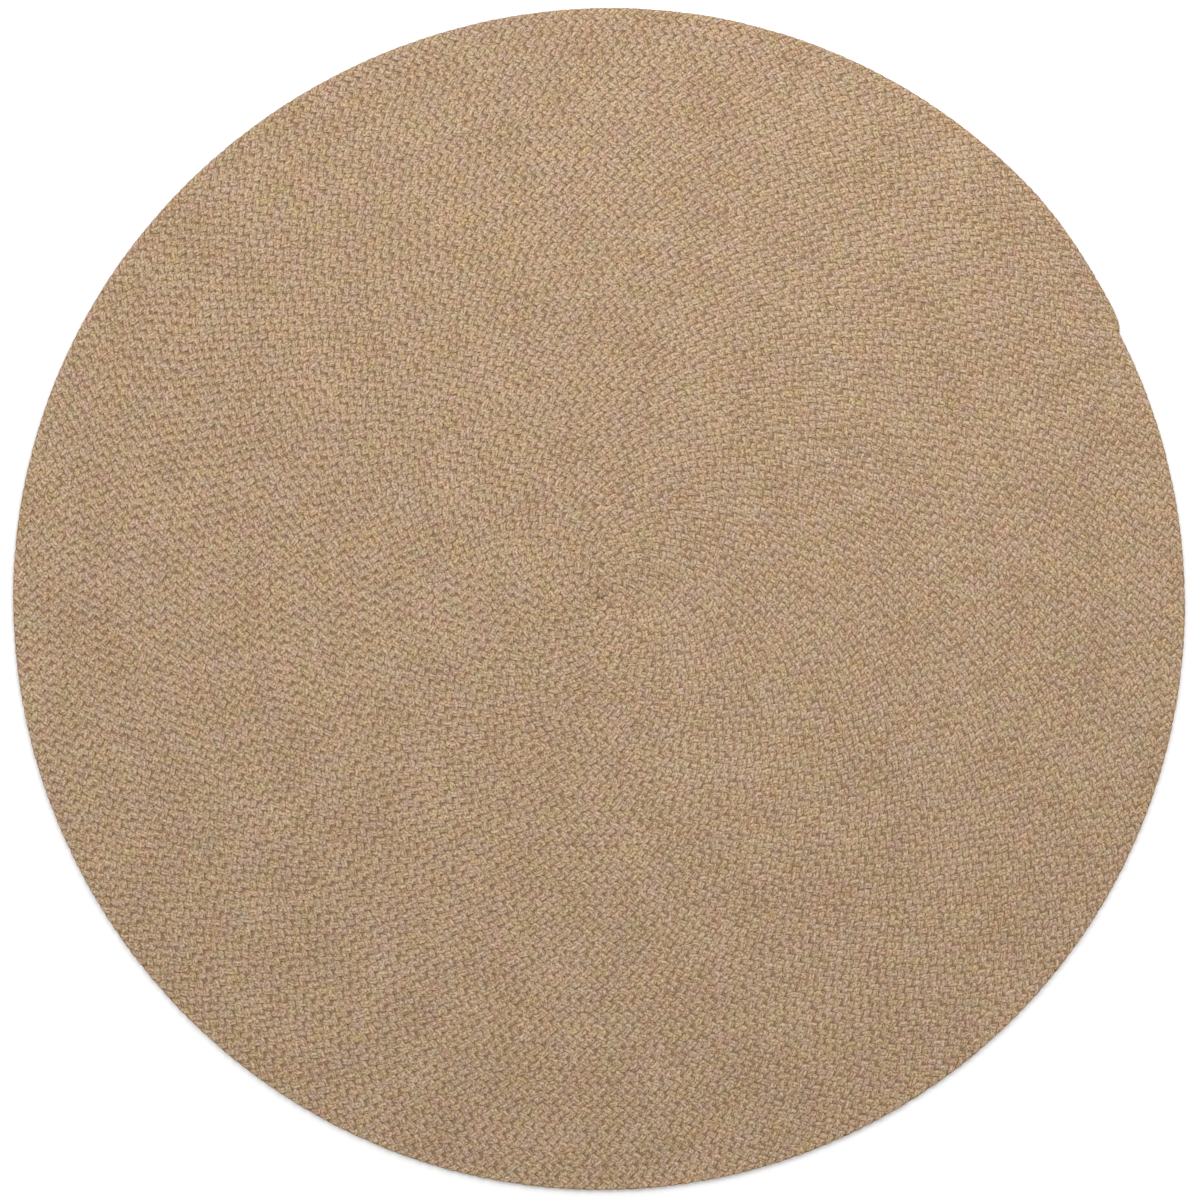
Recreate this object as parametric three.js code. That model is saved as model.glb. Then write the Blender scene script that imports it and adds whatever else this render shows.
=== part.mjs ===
// A round rug made of one flat plait, wound clockwise into a spiral and sewn turn to turn.
// It lies flat on its underside, with +Z up. Each turn of the plait is a raised rib.
import * as THREE from "three";

// Driving dimensions, in millimetres, turns and degrees
const plaitWidth = 18.1; // also the pitch of the winding
const turns = 50;
const thickness = 9;
const grooveDepth = 3; // of the seam between two turns, below the crests beside it
const rimHeight = 4.5; // where the outermost turn bulges most
const shoulderHeight = 7.6;
const shoulderPlace = 0.85; // across the outermost turn, as a share of its width
const undersideInset = 2.5; // the flat underside ends this far inside the bulge
const outerEndAngle = 27;
const taperLength = 270; // over which the outer end narrows
const taperedWidth = 0.5; // what is left at the end, as a share of the plait's width
const noseLength = 45; // the rounded tip of the outer end
const notchLength = 60; // over which the rim takes its full form beside the outer end
const tuckedStart = 0.5; // turns of plait folded under at the centre

// Fineness of the faces
const facetDepth = 1.5; // the most that a straight step cuts inside the curve
const widestStep = 1 / 12;
const finestStep = 4; // beside the outer end, in millimetres
const detailGrowth = 0.35; // how fast the steps widen away from the outer end

// How far the winding is from round, in millimetres at the rim and fading to nothing at the centre
const unevenness = [
  { waves: 1, rise: 9.8, at: -90 },
  { waves: 2, rise: 1.9, at: 78 },
  { waves: 3, rise: 1.6, at: 57 },
  { waves: 4, rise: 0.9, at: -17 },
];

// Worked out from the sizes above
const { acos, cos, sin, sqrt, min, max, abs, PI } = Math;
const { degToRad, lerp, smoothstep } = THREE.MathUtils;
const rimRadius = turns * plaitWidth;
const rimLength = 2 * PI * rimRadius;
const grooveHeight = thickness - grooveDepth;

const vertices = [];
const triangles = [];

// Adds a point that lies this many turns along the winding, at a radius and a height.
function addPoint(wound, radius, height) {
  const angle = degToRad(outerEndAngle) - 2 * PI * (wound - turns);
  let stretch = 1;
  for (const { waves, rise, at } of unevenness) {
    stretch += (rise / rimRadius) * cos(waves * (angle - degToRad(at)));
  }
  vertices.push(radius * stretch * cos(angle), radius * stretch * sin(angle), height);
  return { wound, index: vertices.length / 3 - 1 };
}

function addTriangle(a, b, c) {
  if (a.index !== b.index && b.index !== c.index && c.index !== a.index) {
    triangles.push(a.index, b.index, c.index);
  }
}

// Fills the strip between two clockwise runs of points, stepping along whichever run is behind.
function stitch(near, far) {
  let n = 0;
  let f = 0;
  while (n < near.length - 1 || f < far.length - 1) {
    const farIsDone = f === far.length - 1;
    const nearIsBehind = n < near.length - 1 && (farIsDone || near[n + 1].wound <= far[f + 1].wound);
    if (nearIsBehind) {
      addTriangle(near[n], near[n + 1], far[f]);
      n += 1;
    } else {
      addTriangle(near[n], far[f + 1], far[f]);
      f += 1;
    }
  }
}

// Full along most of the plait, and falling to nothing in a round nose at the outer end.
function noseFullness(wound) {
  const toEnd = (turns - wound) * rimLength;
  return sqrt(1 - (1 - min(toEnd / noseLength, 1)) ** 2);
}

function innerRadius(wound) {
  return max(wound, 0) * plaitWidth;
}

// The width between the seams on both sides, narrow in the tucked start and at the outer end.
function widthAt(wound) {
  if (wound < 0) {
    return (wound + 1) * plaitWidth;
  }
  const toEnd = (turns - wound) * rimLength;
  const taper = lerp(taperedWidth, 1, smoothstep(toEnd, 0, taperLength));
  return plaitWidth * taper * noseFullness(wound);
}

function crestHeight(wound) {
  return grooveHeight + grooveDepth * min(wound + 1, 1) * noseFullness(wound);
}

// The length of the next step along the winding, in turns.
function stepAfter(wound) {
  const byCurve = acos(1 - facetDepth / ((abs(wound) + 1) * plaitWidth)) / PI;
  const toDetail = min(abs(turns - wound), abs(turns - 1 - wound)) * rimLength;
  const byDetail = max(finestStep, toDetail * detailGrowth) / rimLength;
  return min(byCurve, widestStep, byDetail);
}

// The places along the winding where the faces meet, always with both ends of the stretch.
function places(from, to) {
  const list = [from];
  for (let wound = from; wound < to; ) {
    const step = stepAfter(wound);
    wound = to - wound < 1.5 * step ? to : wound + step;
    list.push(wound);
  }
  return list;
}

const firstPlaces = places(-tuckedStart, 0);
const middlePlaces = places(0, turns - 1);
const lastPlaces = places(turns - 1, turns);
const lastInner = lastPlaces.slice(1, -1);

// The seam between the turns, from the centre out to the tip of the plait
const centre = addPoint(0, 0, grooveHeight);
const seam = [centre];
for (const wound of [...middlePlaces.slice(1), ...lastPlaces.slice(1)]) {
  seam.push(addPoint(wound, innerRadius(wound), grooveHeight));
}
const tip = seam[seam.length - 1];

// The crest of the rib
function crestPoint(wound) {
  return addPoint(wound, innerRadius(wound) + widthAt(wound) / 2, crestHeight(wound));
}
const tuckedCrest = firstPlaces.map(crestPoint);
const startOfCrest = tuckedCrest[tuckedCrest.length - 1];
const middleCrest = [startOfCrest, ...middlePlaces.slice(1).map(crestPoint)];
const crestAtNotch = middleCrest[middleCrest.length - 1];
const lastCrest = [crestAtNotch, ...lastInner.map(crestPoint), { wound: turns, index: tip.index }];

// The shoulder and the bulge of the outermost turn, and the edge of the flat underside
function shoulderPoint(wound) {
  const pastNotch = (wound - (turns - 1)) * rimLength;
  const form = smoothstep(pastNotch, 0, notchLength) * noseFullness(wound);
  const radius = innerRadius(wound) + widthAt(wound) * lerp(1, shoulderPlace, form);
  return addPoint(wound, radius, lerp(grooveHeight, shoulderHeight, form));
}
const shoulder = [
  { wound: turns - 1, index: tip.index },
  ...lastInner.map(shoulderPoint),
  { wound: turns, index: tip.index },
];

function rimLoop(inset, height) {
  const loop = lastPlaces.slice(0, -1).map((wound) => {
    return addPoint(wound, innerRadius(wound) + widthAt(wound) - inset, height);
  });
  return [...loop, { wound: turns, index: loop[0].index }];
}
const bulge = rimLoop(0, rimHeight);
const undersideEdge = rimLoop(undersideInset, 0);
const undersideCentre = addPoint(0, 0, 0);

// The upper face, from the centre to the rim
const seamOneTurnOut = seam.map(({ wound, index }) => ({ wound: wound - 1, index }));
stitch([centre], tuckedCrest);
stitch(seam, [...middleCrest, ...lastCrest.slice(1)]);
stitch([{ wound: -1, index: centre.index }, ...tuckedCrest, ...middleCrest.slice(1)], seamOneTurnOut);
stitch(lastCrest, shoulder);

// The rim and the flat underside
stitch(shoulder, bulge);
stitch(bulge, undersideEdge);
stitch(undersideEdge, [undersideCentre]);

const surface = new THREE.BufferGeometry();
surface.setAttribute("position", new THREE.Float32BufferAttribute(vertices, 3));
surface.setIndex(triangles);
surface.computeVertexNormals();

// The origin is under the middle of the rug's box, at the floor
surface.computeBoundingBox();
const middle = surface.boundingBox.getCenter(new THREE.Vector3());
surface.translate(-middle.x, -middle.y, 0);

const heatheredBeigeYarn = new THREE.MeshStandardMaterial({
  color: 0xb19679,
  roughness: 0.9,
  metalness: 0,
});
const rug = new THREE.Mesh(surface, heatheredBeigeYarn);
rug.name = "braided_rug";

const part = new THREE.Group();
part.add(rug);

export default part;
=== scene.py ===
# A round outdoor rug: one flat three-strand plait of heathered yarn, wound clockwise into a
# spiral and sewn turn to turn. Lengths are in metres.
import math

import bmesh
import bpy
import numpy as np
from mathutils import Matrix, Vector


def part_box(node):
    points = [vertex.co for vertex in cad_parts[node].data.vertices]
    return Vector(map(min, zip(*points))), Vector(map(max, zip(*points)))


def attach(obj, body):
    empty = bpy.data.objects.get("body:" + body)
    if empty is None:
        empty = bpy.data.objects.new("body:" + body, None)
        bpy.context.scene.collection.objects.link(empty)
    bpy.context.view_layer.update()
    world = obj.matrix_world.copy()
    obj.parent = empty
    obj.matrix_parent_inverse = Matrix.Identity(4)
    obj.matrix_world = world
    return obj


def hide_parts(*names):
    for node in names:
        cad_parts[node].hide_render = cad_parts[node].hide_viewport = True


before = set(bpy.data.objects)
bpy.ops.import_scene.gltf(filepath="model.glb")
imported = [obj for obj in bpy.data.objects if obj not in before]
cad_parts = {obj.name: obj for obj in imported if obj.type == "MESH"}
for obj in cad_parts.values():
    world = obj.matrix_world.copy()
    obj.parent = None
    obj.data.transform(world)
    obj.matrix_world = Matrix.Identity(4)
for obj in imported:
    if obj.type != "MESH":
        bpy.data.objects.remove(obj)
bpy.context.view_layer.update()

RUG = "braided_rug"

# The winding, with the same sizes as the solid
PLAIT_WIDTH = 0.0181
TURNS = 50
THICKNESS = 0.009
OUTER_END_ANGLE = math.radians(27)
TAPER_LENGTH = 0.270
TAPERED_WIDTH = 0.5
NOSE_LENGTH = 0.045
UNEVENNESS = (  # how far the rim is from round, and at which angle, in degrees
    {"waves": 1, "rise": 0.0098, "at": -90},
    {"waves": 2, "rise": 0.0019, "at": 78},
    {"waves": 3, "rise": 0.0016, "at": 57},
    {"waves": 4, "rise": 0.0009, "at": -17},
)
RIM_RADIUS = TURNS * PLAIT_WIDTH
RIM_LENGTH = 2 * math.pi * RIM_RADIUS
RIM_POINTS = 2000  # taken along the rim to find its outline
MID_HEIGHT = THICKNESS / 2
FULL_HEIGHT_FROM = 0.5  # the share of its full width from which the plait has its full height
LEAST_HEIGHT = 0.3  # the share of its full height that it keeps where it is narrowest

# The plait
STRANDS = 3
LOBE_LENGTH = 0.0163  # from one lobe to the next along the plait
STRAND_PERIOD = STRANDS * LOBE_LENGTH
STRAND_WIDTH = 0.0118
STRAND_THICKNESS = 0.0044
SQUARENESS = 0.6  # of a strand's section, where 1 is round and 0 is square
SWING = 0.0077  # how far a strand swings to each side of the plait's middle
LEAN = 0.53  # how steeply a lobe crosses its half of the plait, sideways over along
TURN_BACK = 4  # how sharply a strand turns back at the sides of the plait
RISE = (THICKNESS - STRAND_THICKNESS) / 2
FLATNESS = 3.5  # a lobe lies flat on top for longer than a plain wave would
EARLY = 0.0007  # the outer lobes start this much sooner, so they are the longer ones
SQUEEZE = 0.0126  # neighbouring turns press the plait to about this half width
RIM_SQUEEZE = 0.0098  # the same for the outer half of the outermost turn
FIRMNESS = 6  # how suddenly they press
OVERLAP = 0.0003  # each turn lies this far over the next one out
TUCKED_TURNS = 0.8  # the tail folded in at the centre

# How the plait is modelled
LENGTHS = 5  # end to end
STEPS_PER_PERIOD = 8
GATHER = STRAND_PERIOD / 27  # the steps gather by this much where a strand dives
STRAND_SIDES = 6
STRAND_APART = 200.0  # keeps the three strands apart on the yarn map
MERGE_DISTANCE = 1e-6

# How unlike each other the lobes are: what varies, and by how much
UNEVEN = {"height": 0.0003, "swing": 0.0008, "place": 0.0012, "width": 0.08}
DRAWS_PER_PERIOD = 4
SLACK = 0.005  # how far the lobes run ahead or lag behind an even plait
SLACK_LENGTH = 0.5  # over about this length of it
SEED = 7

# The yarn inside the plait
# The sheet is coloured as yarn in painted shade, to darken the gaps between lobes
GROUND_INSET = 0.006  # from the rim
GROUND_HALF_THICKNESS = 0.0014
GROUND_SIDES = 256

rng = np.random.default_rng(SEED)


# Winding

def smooth(share):
    share = np.clip(share, 0, 1)
    return share * share * (3 - 2 * share)


def between(values, place):
    """Drifts smoothly from each value to the next, with whole numbers for places."""
    before = np.clip(np.floor(place).astype(int), 0, len(values) - 2)
    share = smooth(place - before)
    return values[before] * (1 - share) + values[before + 1] * share


def nose_fullness(wound):
    """Full along most of the plait, and falling to nothing in a round nose at the outer end."""
    to_end = np.clip((TURNS - wound) * RIM_LENGTH / NOSE_LENGTH, 0, 1)
    return np.sqrt(1 - (1 - to_end) ** 2)


def width_share(wound):
    """How wide the plait lies, as a share of its full width: narrow in its tail and at its outer end."""
    taper = TAPERED_WIDTH + (1 - TAPERED_WIDTH) * smooth((TURNS - wound) * RIM_LENGTH / TAPER_LENGTH)
    return np.where(wound < 0, np.clip(wound + 1, 0, 1), taper * nose_fullness(wound))


def length_at(wound):
    """The length along the plait where this many turns are wound. The tail's turns are negative."""
    if wound < 0:
        return math.pi * PLAIT_WIDTH * ((wound + 1) ** 2 - 1) / 2
    return math.pi * PLAIT_WIDTH * (wound * wound + wound)


def wound_at(length):
    """The turns wound at a length along the plait, which undoes length_at."""
    scaled = length / (math.pi * PLAIT_WIDTH)
    spiral = -0.5 + np.sqrt(0.25 + np.maximum(scaled, 0))
    tail = -1 + np.sqrt(np.maximum(1 + 2 * np.minimum(scaled, 0), 0))
    return np.where(scaled < 0, tail, spiral)


def uneven_round(radius, angle):
    """The radius as it lies in a rug that isn't quite round."""
    stretch = np.ones_like(angle)
    for wave in UNEVENNESS:
        stretch += wave["rise"] / RIM_RADIUS * np.cos(wave["waves"] * (angle - math.radians(wave["at"])))
    return radius * stretch


def wind(along, across, height):
    """Lays points of the straight plait along the spiral."""
    wound = wound_at(along)
    share = width_share(wound)
    radius = np.maximum(wound, 0) * PLAIT_WIDTH + share * (PLAIT_WIDTH / 2 + across)
    angle = OUTER_END_ANGLE - 2 * math.pi * (wound - TURNS)
    radius = uneven_round(radius, angle)
    full = np.clip(share / FULL_HEIGHT_FROM, LEAST_HEIGHT, 1)
    return radius * np.cos(angle), radius * np.sin(angle), MID_HEIGHT + height * full


# The centre of the winding lies beside the middle of the rug's box, which is the origin
rim_wound = np.linspace(TURNS - 1, TURNS, RIM_POINTS)
rim_x, rim_y, _ = wind(length_at(TURNS - 1) + (rim_wound - TURNS + 1) * RIM_LENGTH, PLAIT_WIDTH / 2, 0)
cad_low, cad_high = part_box(RUG)
SHIFT_X = (cad_low.x + cad_high.x) / 2 - (rim_x.min() + rim_x.max()) / 2
SHIFT_Y = (cad_low.y + cad_high.y) / 2 - (rim_y.min() + rim_y.max()) / 2

# What is drawn at random, along the whole plait
PLAIT_START = length_at(-TUCKED_TURNS)
PLAIT_END = length_at(TURNS)
draw_count = int((PLAIT_END - PLAIT_START) / STRAND_PERIOD * DRAWS_PER_PERIOD) + 2 * DRAWS_PER_PERIOD
draws = {what: rng.normal(0, amount, (STRANDS, draw_count)) for what, amount in UNEVEN.items()}
slack_draws = rng.normal(0, SLACK, int((PLAIT_END - PLAIT_START) / SLACK_LENGTH) + 2)

# There is no slack at either end, so both ends stay in their places
slack_draws[:2] = 0
slack_draws[-3:] = 0


# Pieces

def add_piece(name, mesh, material, smooth_faces=True):
    mesh.name = name
    piece = bpy.data.objects.new(name, mesh)
    bpy.context.scene.collection.objects.link(piece)
    mesh.materials.append(material)
    mesh.polygons.foreach_set("use_smooth", np.full(len(mesh.polygons), smooth_faces))
    return piece


def wander(what, strand, along):
    """How far a strand is from even in its height, swing, place or width."""
    place = (along - PLAIT_START) / STRAND_PERIOD * DRAWS_PER_PERIOD + DRAWS_PER_PERIOD / 2
    return between(draws[what][strand], place)


def slacken(along):
    """Plaited looser here and tighter there, so the lobes of neighbouring turns don't keep in step."""
    return along + between(slack_draws, (along - PLAIT_START) / SLACK_LENGTH)


def squared(wave):
    """Presses a round section towards a square one."""
    return np.sign(wave) * np.abs(wave) ** SQUARENESS


def path_of(strand, along):
    """How far a strand is on its way from side to side and back, as an angle."""
    return 2 * math.pi * (along / STRAND_PERIOD + strand / STRANDS)


def lay_strand(along, around, strand):
    """Points on the skin of one strand, from a length along the plait and a share of the way round."""
    path = path_of(strand, along)
    swing = SWING + wander("swing", strand, along)
    lift = RISE + wander("height", strand, along)
    half_width = STRAND_WIDTH / 2 * (1 + wander("width", strand, along))
    crossing = path + EARLY * 2 * math.pi / STRAND_PERIOD * np.cos(path)
    over_and_under = np.clip(FLATNESS * np.sin(2 * crossing), -1, 1)
    lean = LEAN * np.clip(TURN_BACK * np.cos(path), -1, 1)
    turn = 2 * math.pi * around
    sideways = half_width * squared(np.cos(turn)) / np.hypot(1, lean)
    skin = np.stack([
        along + wander("place", strand, along) - sideways * lean,
        swing * np.sin(path) + sideways + OVERLAP,
        lift * over_and_under + STRAND_THICKNESS / 2 * squared(np.sin(turn)),
    ])
    at_rim = (wound_at(along) > TURNS - 1) & (skin[1] > 0)
    limit = np.where(at_rim, RIM_SQUEEZE, SQUEEZE)
    skin[1] /= (1 + (np.abs(skin[1]) / limit) ** FIRMNESS) ** (1 / FIRMNESS)
    skin[2] = np.maximum(skin[2], -MID_HEIGHT)
    return skin


def plait_length(number, first_step, last_step, material):
    """One length of the plait: three strands, each a grid rolled into a tube and laid over and under."""
    steps = last_step - first_step
    step = STRAND_PERIOD / STEPS_PER_PERIOD
    bm = bmesh.new()
    bm.loops.layers.uv.new("yarn")
    for _ in range(STRANDS):
        bmesh.ops.create_grid(bm, x_segments=steps, y_segments=STRAND_SIDES, size=0.5, calc_uvs=True)
    mesh = bpy.data.meshes.new("plait")
    bm.to_mesh(mesh)
    bm.free()
    grid = np.empty(len(mesh.vertices) * 3)
    mesh.vertices.foreach_get("co", grid)
    grid = grid.reshape(STRANDS, -1, 3)
    uv = np.empty(len(mesh.loops) * 2)
    mesh.uv_layers["yarn"].uv.foreach_get("vector", uv)
    uv = uv.reshape(STRANDS, -1, 2)
    for strand in range(STRANDS):
        # Each strand starts a little before the one before it, so all have their steps at the same
        # places on their lobes. The steps gather where a strand dives, four times in a period, and
        # shift with the early start of the outer lobes.
        start = PLAIT_START + (first_step + 0.5) * step - strand * STRAND_PERIOD / STRANDS
        along = start + (grid[strand, :, 0] + 0.5) * steps * step
        path = path_of(strand, along)
        along -= GATHER * np.sin(4 * path) + EARLY * np.cos(path)
        along = np.clip(along, PLAIT_START, PLAIT_END)
        skin = lay_strand(along, grid[strand, :, 1] + 0.5, strand)
        x, y, z = wind(slacken(skin[0]), skin[1], skin[2])
        grid[strand] = np.stack([x + SHIFT_X, y + SHIFT_Y, z], axis=1)
        uv[strand, :, 0] = start + uv[strand, :, 0] * steps * step + strand * STRAND_APART
    mesh.vertices.foreach_set("co", grid.ravel())
    mesh.uv_layers["yarn"].uv.foreach_set("vector", uv.ravel())
    bm = bmesh.new()
    bm.from_mesh(mesh)
    bmesh.ops.remove_doubles(bm, verts=bm.verts, dist=MERGE_DISTANCE)
    rims = [edge for edge in bm.edges if edge.is_boundary]
    bmesh.ops.holes_fill(bm, edges=rims, sides=STRAND_SIDES)
    bmesh.ops.recalc_face_normals(bm, faces=bm.faces)
    bm.to_mesh(mesh)
    bm.free()
    piece = add_piece(f"plait_length_{number}", mesh, material)
    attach(piece, "root")
    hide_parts(RUG)
    return piece


def packed_ground_shade_sheet(material):
    """A thin flat sheet with the rug's outline, where the strands press on each other. Its dark colour is
    painted shade, seen where the gaps between lobes show it.
    """
    depth = 2 * GROUND_HALF_THICKNESS
    bm = bmesh.new()
    bmesh.ops.create_cone(bm, cap_ends=True, segments=GROUND_SIDES, radius1=1, radius2=1, depth=depth)
    rim_angle = np.arctan2(rim_y, rim_x)
    rim_radius = np.hypot(rim_x, rim_y)
    order = np.argsort(rim_angle)
    for vert in bm.verts:
        angle = math.atan2(vert.co.y, vert.co.x)
        reach = np.interp(angle, rim_angle[order], rim_radius[order], period=2 * math.pi) - GROUND_INSET
        vert.co.x = reach * math.cos(angle) + SHIFT_X
        vert.co.y = reach * math.sin(angle) + SHIFT_Y
        vert.co.z += MID_HEIGHT
    bmesh.ops.triangulate(bm, faces=bm.faces[:])
    bmesh.ops.recalc_face_normals(bm, faces=bm.faces)
    mesh = bpy.data.meshes.new("ground")
    bm.to_mesh(mesh)
    bm.free()
    return add_piece("packed_ground_shade_sheet", mesh, material, smooth_faces=False)


# Finishes

class Value:
    """A number that varies over a surface. Sums on it add the finish's Math nodes."""

    def __init__(self, finish, socket):
        self.finish = finish
        self.socket = socket

    def __add__(self, other):
        return self.finish.math("ADD", self, other)

    def __sub__(self, other):
        return self.finish.math("SUBTRACT", self, other)

    def __rsub__(self, other):
        return self.finish.math("SUBTRACT", other, self)

    def __mul__(self, other):
        return self.finish.math("MULTIPLY", self, other)

    def __truediv__(self, other):
        return self.finish.math("DIVIDE", self, other)

    __radd__ = __add__
    __rmul__ = __mul__

    def clamped(self):
        return self.finish.math("ADD", self, 0, use_clamp=True)


class Finish:
    """A material under construction."""

    def __init__(self, name):
        self.material = bpy.data.materials.new(name)
        self.material.use_nodes = True
        self.tree = self.material.node_tree
        self.shader = self.tree.nodes["Principled BSDF"]

    def node(self, kind, settings=None, inputs=None):
        node = self.tree.nodes.new(kind)
        for key, value in (settings or {}).items():
            setattr(node, key, value)
        for key, value in (inputs or {}).items():
            self.put(node.inputs[key], value)
        return node

    def put(self, socket, value):
        if isinstance(value, Value):
            value = value.socket
        if isinstance(value, bpy.types.NodeSocket):
            self.tree.links.new(value, socket)
        else:
            socket.default_value = value

    def math(self, operation, *values, use_clamp=False):
        settings = {"operation": operation, "use_clamp": use_clamp}
        node = self.node("ShaderNodeMath", settings, dict(enumerate(values)))
        return Value(self, node.outputs[0])

    def mix(self, share, a, b, blend="MIX"):
        node = self.node(
            "ShaderNodeMix",
            {"data_type": "RGBA", "blend_type": blend, "clamp_factor": True},
            {0: share, 6: a, 7: b},
        )
        return node.outputs[2]

    def noise(self, place, scale=1.0, detail=2.0, roughness=0.5):
        return self.node(
            "ShaderNodeTexNoise",
            {"noise_dimensions": "3D"},
            {"Vector": place, "Scale": scale, "Detail": detail, "Roughness": roughness},
        )

    def parts(self, vector):
        node = self.node("ShaderNodeSeparateXYZ", inputs={0: vector})
        return [Value(self, out) for out in node.outputs]

    def joined(self, x, y, z):
        return self.node("ShaderNodeCombineXYZ", inputs={0: x, 1: y, 2: z}).outputs[0]

    def finish_with(self, **inputs):
        for key, value in inputs.items():
            self.put(self.shader.inputs[key.replace("_", " ")], value)
        return self.material


def srgb(red, green, blue):
    """A colour as Blender wants it, from the usual 0 to 255 values."""
    def linear(part):
        part /= 255
        return part / 12.92 if part <= 0.04045 else ((part + 0.055) / 1.055) ** 2.4
    return (linear(red), linear(green), linear(blue), 1)


# The yarn's colour, and how far red, green and blue drift from it
BEIGE = srgb(171, 144, 115)
PATCH_SIZE = 0.028
PATCH_DRIFT = (0.23, 0.23, 0.60)
TINT_LENGTH = 0.026  # along a strand
LENGTH_DRIFT = (0.08, 0.08, 0.15)

# What the colour is multiplied by: where it is darkest, where it is palest and down in the seams. SHADED and
# LIT are painted shade and painted light mixed with the yarn's own dark and pale tone, and the seam tint is
# painted shade
SHADED = (0.59, 0.50, 0.39, 1)
LIT = (1.39, 1.52, 1.71, 1)
SEAM_SHADE = (0.84, 0.77, 0.69, 1)
SEAM_SHADE_FROM = 0.0003  # measured up or down from the middle of the rug
SEAM_SHADE_TO = 0.0028

# What makes it darker and paler, each with its share. The flecks and broad patches are the yarn's own tone.
# The ply lines are painted shade in their grooves and painted light on their crowns, and the edges and the
# rim are painted shade
PLIES = 8
PLY_TWIST = 150.0  # radians in each metre
PLY_SHADE = 0.30
RIPPLE_LENGTH = 0.02  # the plies aren't quite straight
RIPPLES_AROUND = 3
RIPPLE_LAYER = 2  # of the noise, apart from the layer that the flecks use
RIPPLE_TURN = 3.0  # radians
FLECK_LENGTH = 0.0026
FLECKS_AROUND = 12
FLECK_SHADE = 3.5
BROAD_SIZE = 0.10
BROAD_SHADE = 0.33
EDGE_WIDTH = 0.72  # the sine of the way round a strand where its sides end
EDGE_SHADE = 0.74
RIM_FROM = 0.5  # the cosine of the way round a strand where the rim's shade starts
RIM_FADE = 0.06  # the length over which the rim's shade sets in
RIM_SHADE = 1.0

# Relief that is too fine for the mesh
RELIEF_DEPTH = 0.0009
PLY_RELIEF = 0.3
FLECK_RELIEF = 1.2


def heathered_yarn():
    """Beige yarn that drifts to olive, mauve, orange and grey, in patches and along each strand."""
    finish = Finish("heathered_yarn")
    uv = finish.node("ShaderNodeUVMap", {"uv_map": "yarn"}).outputs[0]
    along, around, _ = finish.parts(uv)
    place = finish.node("ShaderNodeTexCoord").outputs["Object"]

    patches = finish.parts(finish.noise(place, 1 / PATCH_SIZE, roughness=0.7).outputs["Color"])
    tint_place = finish.joined(along / TINT_LENGTH, around, 0)
    lengths = finish.parts(finish.noise(tint_place, detail=1.0).outputs["Color"])
    drift = [
        1 + (patch - 0.5) * by_patch + (length - 0.5) * by_length
        for patch, length, by_patch, by_length in zip(patches, lengths, PATCH_DRIFT, LENGTH_DRIFT)
    ]
    colour = finish.mix(1.0, BEIGE, finish.joined(*drift), "MULTIPLY")

    # The plies of each strand, with painted shade in their grooves and painted light on their crowns, and the
    # loose fibres on them: darker is warmer, paler is greyer
    ripple_place = finish.joined(along / RIPPLE_LENGTH, around * RIPPLES_AROUND, RIPPLE_LAYER)
    ripple = Value(finish, finish.noise(ripple_place).outputs[0])
    turn = around * (2 * math.pi * PLIES) + along * PLY_TWIST + ripple * RIPPLE_TURN
    ply = finish.math("COSINE", turn) * 0.5
    fleck_place = finish.joined(along / FLECK_LENGTH, around * FLECKS_AROUND, 0)
    flecks = Value(finish, finish.noise(fleck_place, roughness=0.6).outputs[0]) - 0.5
    broad = Value(finish, finish.noise(place, 1 / BROAD_SIZE, detail=3.0, roughness=0.6).outputs[0]) - 0.5

    # Painted shade on the sides of each strand, down in the crevices between lobes, and all round the rim on
    # the outer side of the outermost turn
    crest = finish.math("ABSOLUTE", finish.math("SINE", around * (2 * math.pi)))
    edge = 1 - (crest / EDGE_WIDTH).clamped()
    length = finish.math("MODULO", along, STRAND_APART)
    in_last_turn = ((length - length_at(TURNS - 1)) / RIM_FADE).clamped()
    outward = ((finish.math("COSINE", around * (2 * math.pi)) - RIM_FROM) / (1 - RIM_FROM)).clamped()
    edge = edge + in_last_turn * outward * RIM_SHADE
    # The yarn's own tone together with painted shade and painted light, which mixes the colour between the
    # SHADED and LIT tints
    shade = (0.5 + ply * PLY_SHADE + flecks * FLECK_SHADE + broad * BROAD_SHADE - edge * EDGE_SHADE).clamped()
    colour = finish.mix(1.0, colour, finish.mix(shade, SHADED, LIT), "MULTIPLY")

    # Painted shadow: yarn down in the crossings and seams is darkened, as it is in shadow there
    from_middle = finish.math("ABSOLUTE", finish.parts(place)[2] - MID_HEIGHT)
    proud = finish.node(
        "ShaderNodeMapRange",
        {"interpolation_type": "SMOOTHSTEP"},
        {"Value": from_middle, "From Min": SEAM_SHADE_FROM, "From Max": SEAM_SHADE_TO, "To Min": 0.0, "To Max": 1.0},
    ).outputs[0]
    colour = finish.mix(proud, finish.mix(1.0, colour, SEAM_SHADE, "MULTIPLY"), colour)

    relief = ply * PLY_RELIEF + flecks * FLECK_RELIEF
    bump = finish.node(
        "ShaderNodeBump",
        inputs={"Strength": 1.0, "Distance": RELIEF_DEPTH, "Height": relief},
    ).outputs[0]
    return finish.finish_with(Base_Color=colour, Roughness=0.9, Specular_IOR_Level=0.25, Normal=bump)


def plain_finish(name, colour, roughness):
    return Finish(name).finish_with(Base_Color=colour, Roughness=roughness, Specular_IOR_Level=0.2)


# The rug. It takes one period more of steps, because each strand starts before the one before it.
yarn = heathered_yarn()
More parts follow.
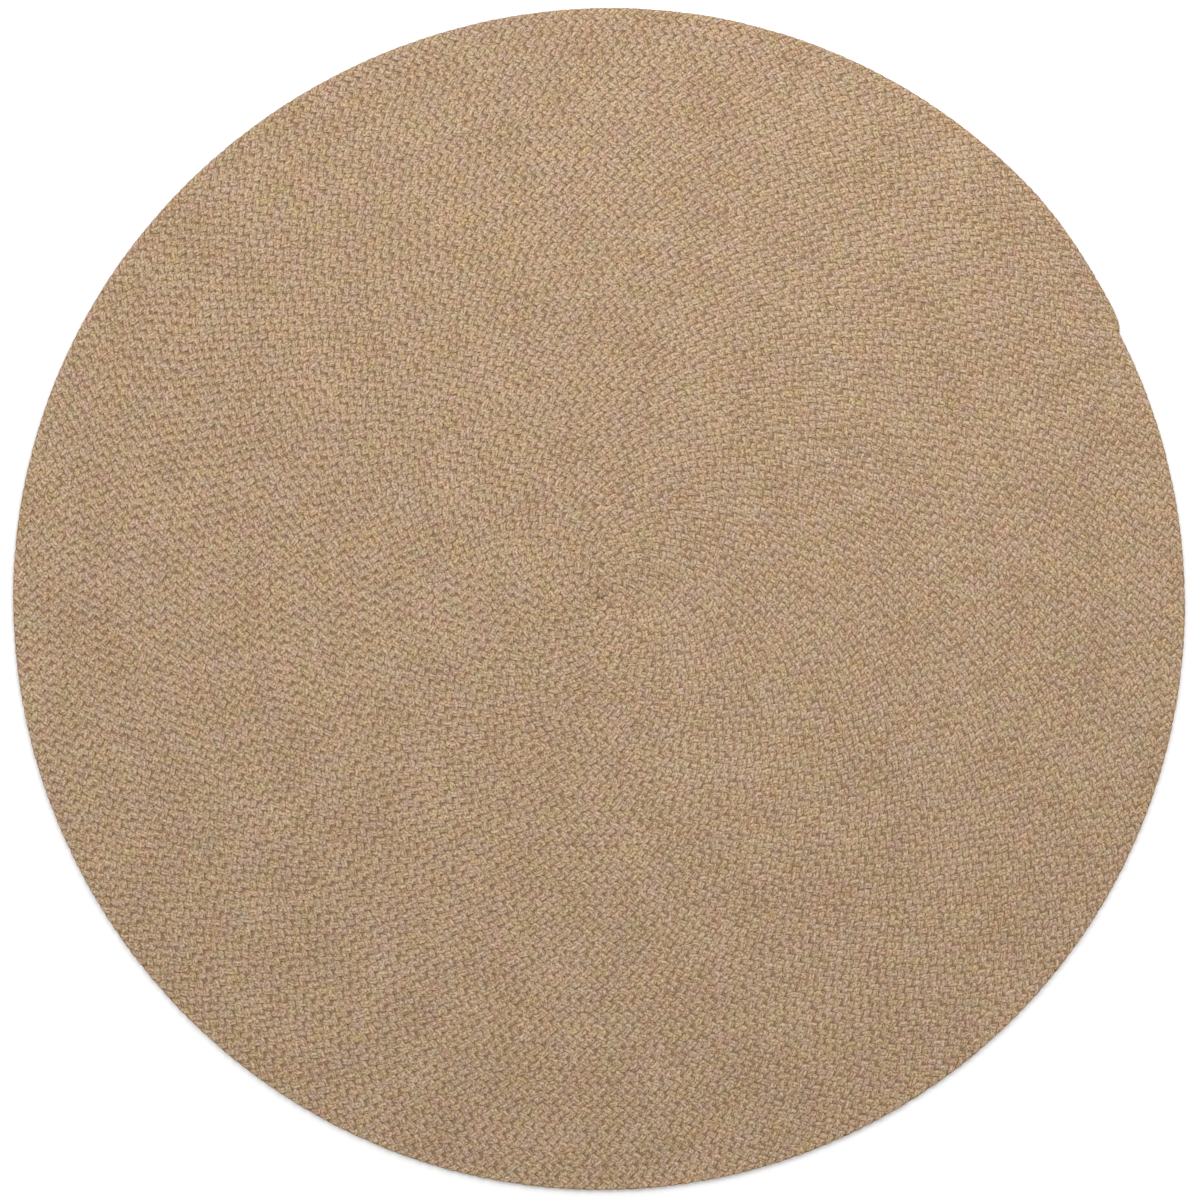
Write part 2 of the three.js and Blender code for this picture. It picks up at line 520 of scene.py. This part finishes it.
# The sheet inside the plait is coloured darker than the yarn, as painted shade in the gaps between lobes
packed_yarn_in_painted_shade = plain_finish("packed_yarn_in_painted_shade", srgb(134, 110, 86), 0.95)
all_steps = round((PLAIT_END - PLAIT_START) / STRAND_PERIOD * STEPS_PER_PERIOD) + STEPS_PER_PERIOD
cuts = [round(all_steps * n / LENGTHS) for n in range(LENGTHS + 1)]
plait = [plait_length(n + 1, cuts[n], cuts[n + 1], yarn) for n in range(LENGTHS)]

ground = packed_ground_shade_sheet(packed_yarn_in_painted_shade)
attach(ground, "root")
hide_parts(RUG)

# The floor
FLOOR_HALF_WIDTH = 8.0
FLOOR_WHITE = (0.93, 0.93, 0.93, 1)
bm = bmesh.new()
bmesh.ops.create_grid(bm, x_segments=1, y_segments=1, size=FLOOR_HALF_WIDTH)
floor_mesh = bpy.data.meshes.new("floor")
bm.to_mesh(floor_mesh)
bm.free()
floor = add_piece("floor", floor_mesh, plain_finish("white_floor", FLOOR_WHITE, 0.9), smooth_faces=False)

# Soft studio light
WORLD_STRENGTH = 0.78
world = bpy.data.worlds.new("studio")
world.use_nodes = True
world.node_tree.nodes["Background"].inputs["Color"].default_value = (1, 1, 1, 1)
world.node_tree.nodes["Background"].inputs["Strength"].default_value = WORLD_STRENGTH
bpy.context.scene.world = world


def soft_box(name, place, size, power):
    """A square light of this many watts that faces the middle of the rug."""
    light = bpy.data.lights.new(name, "AREA")
    light.shape = "SQUARE"
    light.size = size
    light.energy = power
    lamp = bpy.data.objects.new(name, light)
    lamp.location = place
    bpy.context.scene.collection.objects.link(lamp)
    lamp.rotation_mode = "QUATERNION"
    lamp.rotation_quaternion = (-lamp.location).to_track_quat("-Z", "Y")


soft_box("key_light", place=(-3.1, 1.8, 3.6), size=1.6, power=57)
soft_box("fill_light", place=(0.6, 1.3, 2.2), size=2.2, power=37)

# The camera, straight above, with the photograph's framing
PICTURE_PIXELS = 1200
METRES_ACROSS = 1.8288  # the rug's size, taken from the standard ones
PIXELS_ACROSS = 1178.7  # its size in the photograph
METRES_PER_PIXEL = METRES_ACROSS / PIXELS_ACROSS
PICTURE_MIDDLE_X = 1.0  # the frame's middle, in pixels right of the rug's middle
PICTURE_MIDDLE_Y = -1.0  # and in pixels above it
LENS = 85  # in millimetres, as the sensor is
SENSOR_WIDTH = 36
camera_data = bpy.data.cameras.new("camera")
camera_data.lens = LENS
camera_data.sensor_width = SENSOR_WIDTH
camera = bpy.data.objects.new("camera", camera_data)
frame_width = PICTURE_PIXELS * METRES_PER_PIXEL
camera.location = (
    PICTURE_MIDDLE_X * METRES_PER_PIXEL,
    PICTURE_MIDDLE_Y * METRES_PER_PIXEL,
    THICKNESS + frame_width * LENS / SENSOR_WIDTH,
)
bpy.context.scene.collection.objects.link(camera)
bpy.context.scene.camera = camera
bpy.context.scene.view_settings.view_transform = "Standard"
